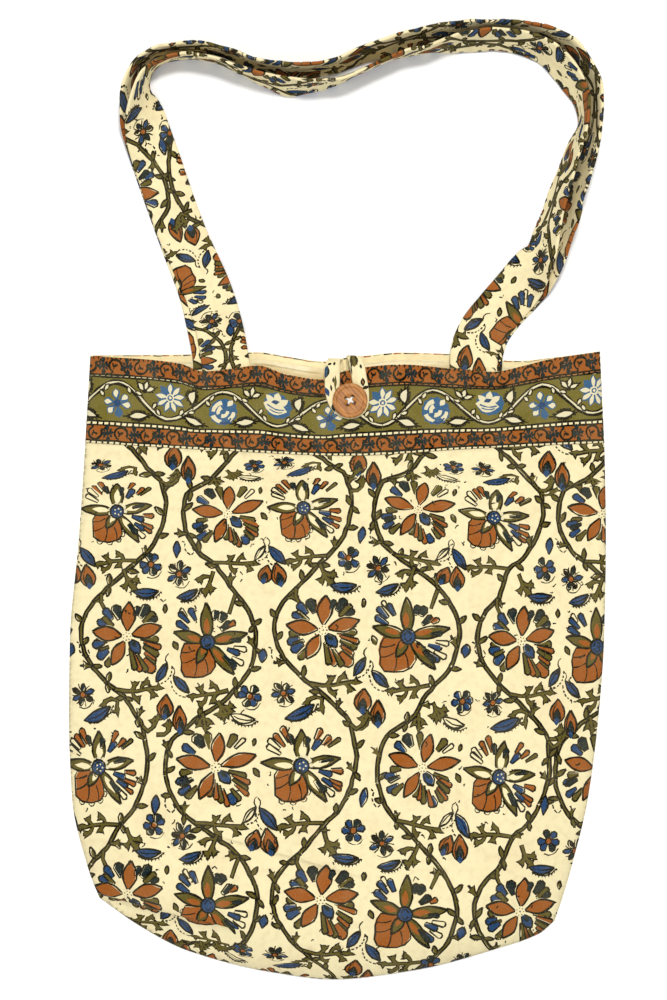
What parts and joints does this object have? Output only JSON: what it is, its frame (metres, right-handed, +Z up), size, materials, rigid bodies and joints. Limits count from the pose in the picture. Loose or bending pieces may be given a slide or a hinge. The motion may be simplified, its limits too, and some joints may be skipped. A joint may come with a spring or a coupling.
{
  "type": "cotton tote bag",
  "caption": "Flat cotton shoulder tote lying on its back: floral block print, striped border at the mouth, cream lining, long strap handles and a wooden button with a cloth loop.",
  "frame": {"origin": "under the middle of the whole bag, on the surface that it lies on", "axes": "+Y from the base to the mouth and handles, +X to the right as the front is seen, +Z up out of the front"},
  "size_m": [0.3719, 0.6602, 0.0343],
  "materials": {
    "printed_cotton": "plain-weave cotton, block printed on a cream ground",
    "border_cotton": "plain-weave cotton, rust and olive border print",
    "lining_cotton": "plain cream cotton",
    "loop_cotton": "narrow folded strip of the printed cotton",
    "button_wood": "satin turned wood",
    "sewing_thread": "white cotton thread"
  },
  "bodies": {
    "root": {"front_panel": "printed_cotton", "back_panel": "printed_cotton", "front_band": "border_cotton", "back_band": "border_cotton", "front_lining": "lining_cotton", "back_lining": "lining_cotton", "front_handle": "printed_cotton", "back_handle": "printed_cotton", "button_loop": "loop_cotton", "button": "button_wood", "button_thread": "sewing_thread"}
  },
  "joints": []
}
